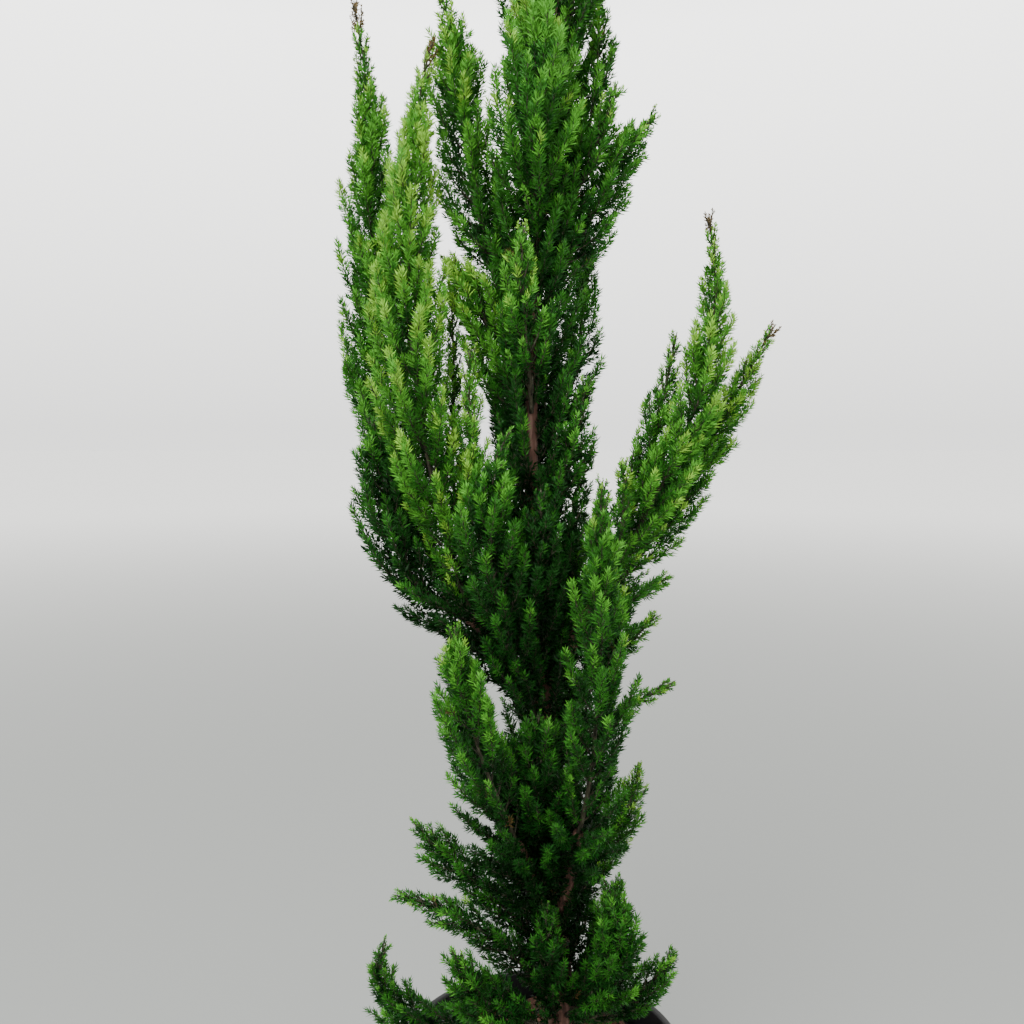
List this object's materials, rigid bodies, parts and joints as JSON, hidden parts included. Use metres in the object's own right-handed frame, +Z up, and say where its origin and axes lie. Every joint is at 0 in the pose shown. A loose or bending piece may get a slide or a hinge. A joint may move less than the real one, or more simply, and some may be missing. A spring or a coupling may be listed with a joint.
{
  "type": "potted lawson cypress",
  "caption": "Young lawson cypress with upright plumes of fine foliage on a slender trunk with main boughs, in a round tapered nursery pot.",
  "frame": {"origin": "centre of the pot's flat underside", "axes": "+Z up along the trunk, +X to the right and +Y away when the plant's front is looked at; the plant's front faces -Y"},
  "size_m": [0.3685, 0.2637, 1.3687],
  "materials": {
    "black_plastic": "satin black",
    "potting_mix": "rough, dark, bark-based",
    "bark": "rough, reddish brown",
    "foliage": "matt green"
  },
  "bodies": {
    "root": {"bough_front_left": "bark", "bough_front_right": "bark", "bough_left": "bark", "bough_right": "bark", "foliage_back_1": "foliage", "foliage_back_2": "foliage", "foliage_back_3": "foliage", "foliage_back_4": "foliage", "foliage_back_5": "foliage", "foliage_back_6": "foliage", "foliage_column_back_1": "foliage", "foliage_column_back_2": "foliage", "foliage_column_back_3": "foliage", "foliage_column_back_4": "foliage", "foliage_column_back_5": "foliage", "foliage_column_back_6": "foliage", "foliage_column_back_7": "foliage", "foliage_column_front_low": "foliage", "foliage_column_front_top": "foliage", "foliage_column_left_middle": "foliage", "foliage_column_left_top": "foliage", "foliage_column_right_arm": "foliage", "foliage_column_right_low": "foliage", "foliage_column_right_top": "foliage", "foliage_column_top_1": "foliage", "foliage_column_top_2": "foliage", "foliage_column_top_3": "foliage", "foliage_column_top_4": "foliage", "foliage_front_crook": "foliage", "foliage_front_foot": "foliage", "foliage_front_left": "foliage", "foliage_front_low": "foliage", "foliage_front_low_tip": "foliage", "foliage_front_middle": "foliage", "foliage_front_right": "foliage", "foliage_leader": "foliage", "foliage_left_front": "foliage", "foliage_left_inner": "foliage", "foliage_left_inner_side": "foliage", "foliage_left_low": "foliage", "foliage_left_tall": "foliage", "foliage_left_thin": "foliage", "foliage_low_left_lower": "foliage", "foliage_low_left_upper": "foliage", "foliage_low_right_front": "foliage", "foliage_low_right_upper": "foliage", "foliage_right_inner": "foliage", "foliage_right_low": "foliage", "foliage_right_middle": "foliage", "foliage_right_outer": "foliage", "foliage_right_spur_lower": "foliage", "foliage_right_spur_middle": "foliage", "foliage_right_spur_upper": "foliage", "foliage_right_tip": "foliage", "foliage_skirt_front_left": "foliage", "foliage_skirt_left": "foliage", "foliage_skirt_right": "foliage", "pot": "black_plastic", "potting_mix": "potting_mix", "trunk": "bark"}
  },
  "joints": []
}
